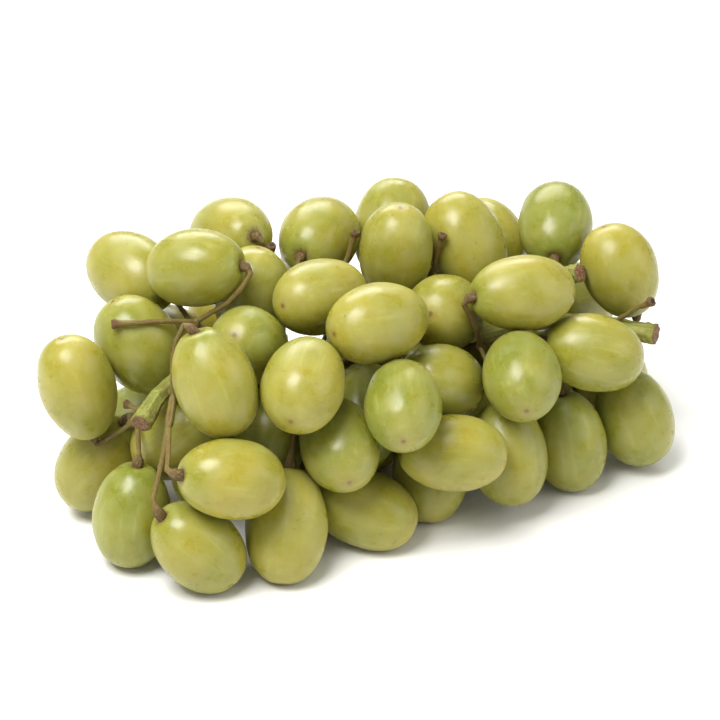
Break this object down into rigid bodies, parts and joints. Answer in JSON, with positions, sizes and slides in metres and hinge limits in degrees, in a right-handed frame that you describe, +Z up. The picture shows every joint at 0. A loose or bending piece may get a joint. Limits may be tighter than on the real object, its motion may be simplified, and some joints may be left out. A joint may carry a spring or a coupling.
{
  "type": "bunch of grapes",
  "caption": "Cut bunch of large, oval, yellow-green seedless grapes on one branched woody stem, lying on a surface.",
  "frame": {"origin": "on the surface that the bunch lies on, below the middle of its outer size", "axes": "+X along the main stem, towards its thinner, browner cut end; +Y across the bunch; +Z up"},
  "size_m": [0.1784, 0.1102, 0.08],
  "materials": {
    "grape_skin": "smooth, thin, slightly see-through fruit skin with a faint waxy bloom",
    "stem_bark": "rough green-brown woody stem, browner on the thin stalks"
  },
  "bodies": {
    "root": {"stem": "stem_bark", "grape_01": "grape_skin", "grape_02": "grape_skin", "grape_03": "grape_skin", "grape_04": "grape_skin", "grape_05": "grape_skin", "grape_06": "grape_skin", "grape_07": "grape_skin", "grape_08": "grape_skin", "grape_09": "grape_skin", "grape_10": "grape_skin", "grape_11": "grape_skin", "grape_12": "grape_skin", "grape_13": "grape_skin", "grape_14": "grape_skin", "grape_15": "grape_skin", "grape_16": "grape_skin", "grape_17": "grape_skin", "grape_18": "grape_skin", "grape_19": "grape_skin", "grape_20": "grape_skin", "grape_21": "grape_skin", "grape_22": "grape_skin", "grape_23": "grape_skin", "grape_24": "grape_skin", "grape_25": "grape_skin", "grape_26": "grape_skin", "grape_27": "grape_skin", "grape_28": "grape_skin", "grape_29": "grape_skin", "grape_30": "grape_skin", "grape_31": "grape_skin", "grape_32": "grape_skin", "grape_33": "grape_skin", "grape_34": "grape_skin", "grape_35": "grape_skin", "grape_36": "grape_skin", "grape_37": "grape_skin", "grape_38": "grape_skin", "grape_39": "grape_skin", "grape_40": "grape_skin", "grape_41": "grape_skin", "grape_42": "grape_skin", "grape_43": "grape_skin", "grape_44": "grape_skin", "grape_45": "grape_skin", "grape_46": "grape_skin", "grape_47": "grape_skin", "grape_48": "grape_skin", "grape_49": "grape_skin", "grape_50": "grape_skin", "grape_51": "grape_skin", "grape_52": "grape_skin", "grape_53": "grape_skin", "grape_54": "grape_skin", "grape_55": "grape_skin", "grape_56": "grape_skin", "grape_57": "grape_skin", "grape_58": "grape_skin", "grape_59": "grape_skin"}
  },
  "joints": []
}
